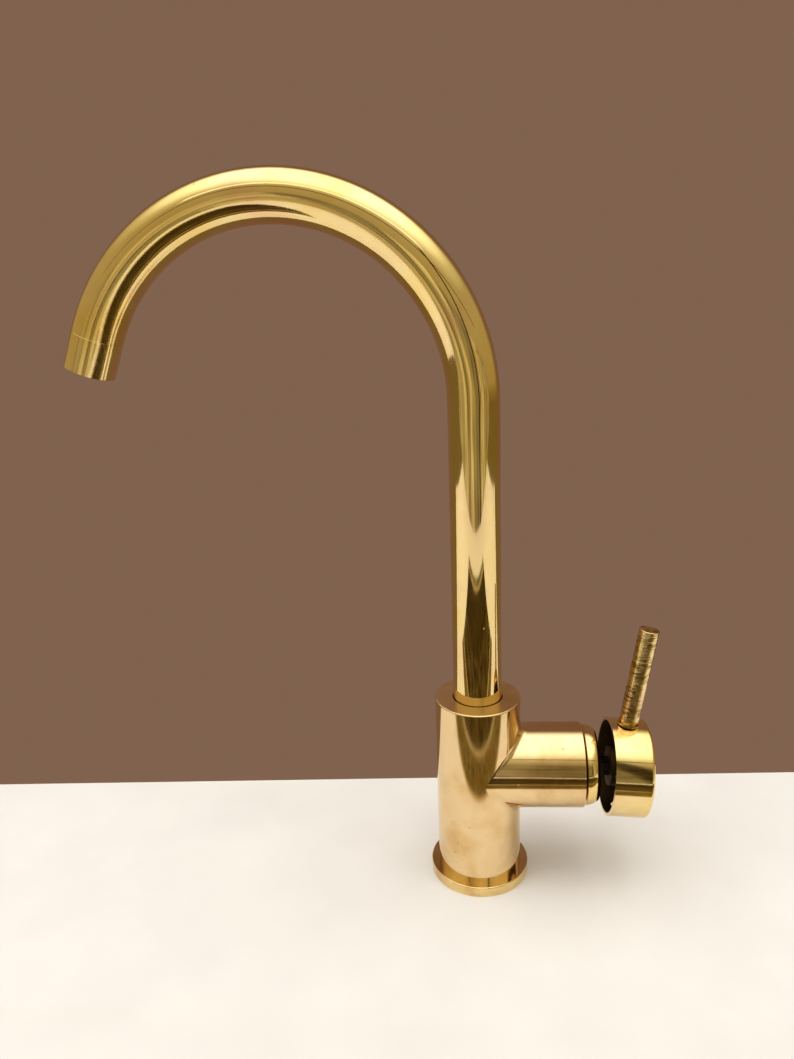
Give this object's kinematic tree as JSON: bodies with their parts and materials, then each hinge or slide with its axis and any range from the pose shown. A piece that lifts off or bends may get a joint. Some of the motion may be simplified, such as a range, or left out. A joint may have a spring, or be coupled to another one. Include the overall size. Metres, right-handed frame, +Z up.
{
  "type": "kitchen faucet",
  "caption": "Single-lever deck faucet with a swivelling gooseneck spout, a side arm with a lever on a round knob, and a hidden aerator.",
  "frame": {"origin": "centre of the base flange, on the deck plane that it seats on", "axes": "+Z up, along the body and the upright of the spout; +X along the side arm towards the handle; +Y to the back, so that -Y faces the viewer"},
  "size_m": [0.2917, 0.0542, 0.3627],
  "materials": {
    "polished_brass": "hand polished, unlacquered",
    "turned_brass": "as turned",
    "steel": "plain stainless",
    "black_rubber": "matt",
    "black_plastic": "moulded",
    "pale_plastic": "moulded",
    "ceramic": "lapped"
  },
  "bodies": {
    "mixer_body": {"base_flange": "polished_brass", "base_seal": "black_rubber", "body": "polished_brass", "spout_set_screw": "steel", "spout_thrust_washer": "black_plastic", "spout_slide_ring": "black_plastic", "cartridge_base": "pale_plastic", "cartridge_port_seals": "black_rubber", "cartridge_housing": "black_plastic", "cartridge_seal": "black_rubber", "fixed_disc": "ceramic", "clamp_nut": "turned_brass", "bonnet": "polished_brass", "bonnet_o_ring": "black_rubber"},
    "spout": {"spout_tube": "polished_brass", "spout_nipple": "turned_brass", "spout_o_ring_upper": "black_rubber", "spout_o_ring_lower": "black_rubber", "tip_nipple": "turned_brass", "aerator_housing": "polished_brass", "aerator_gasket": "black_rubber", "aerator_insert": "pale_plastic", "aerator_screen": "steel", "flow_regulator": "pale_plastic"},
    "turret": {"cartridge_rotor": "pale_plastic", "pivot_pin": "steel"},
    "handle": {"stem": "steel", "handle_knob": "polished_brass", "lever": "polished_brass", "handle_set_screw": "steel"},
    "valve_disc": {"moving_disc": "ceramic", "disc_carrier": "pale_plastic"}
  },
  "joints": [
    {"name": "spout_swivel", "type": "hinge", "parent": "mixer_body", "child": "spout", "pos_m": [0, 0, 0.0916], "axis": [0, 0, 1], "continuous": true},
    {"name": "temperature_turn", "type": "hinge", "parent": "mixer_body", "child": "turret", "pos_m": [0.052, 0, 0.0629], "axis": [1, 0, 0], "range_deg": [-45, 45]},
    {"name": "flow_lift", "type": "hinge", "parent": "turret", "child": "handle", "pos_m": [0.052, 0, 0.0629], "axis": [0, 1, 0], "range_deg": [-3.8, 21.2]},
    {"name": "disc_slide", "type": "slide", "parent": "turret", "child": "valve_disc", "axis": [0, 0, 1], "range_m": [-0.00085, 0.0046]}
  ],
  "couplings": [
    {"joint": "disc_slide", "follows": "flow_lift", "m_per_rad": 0.0122}
  ]
}
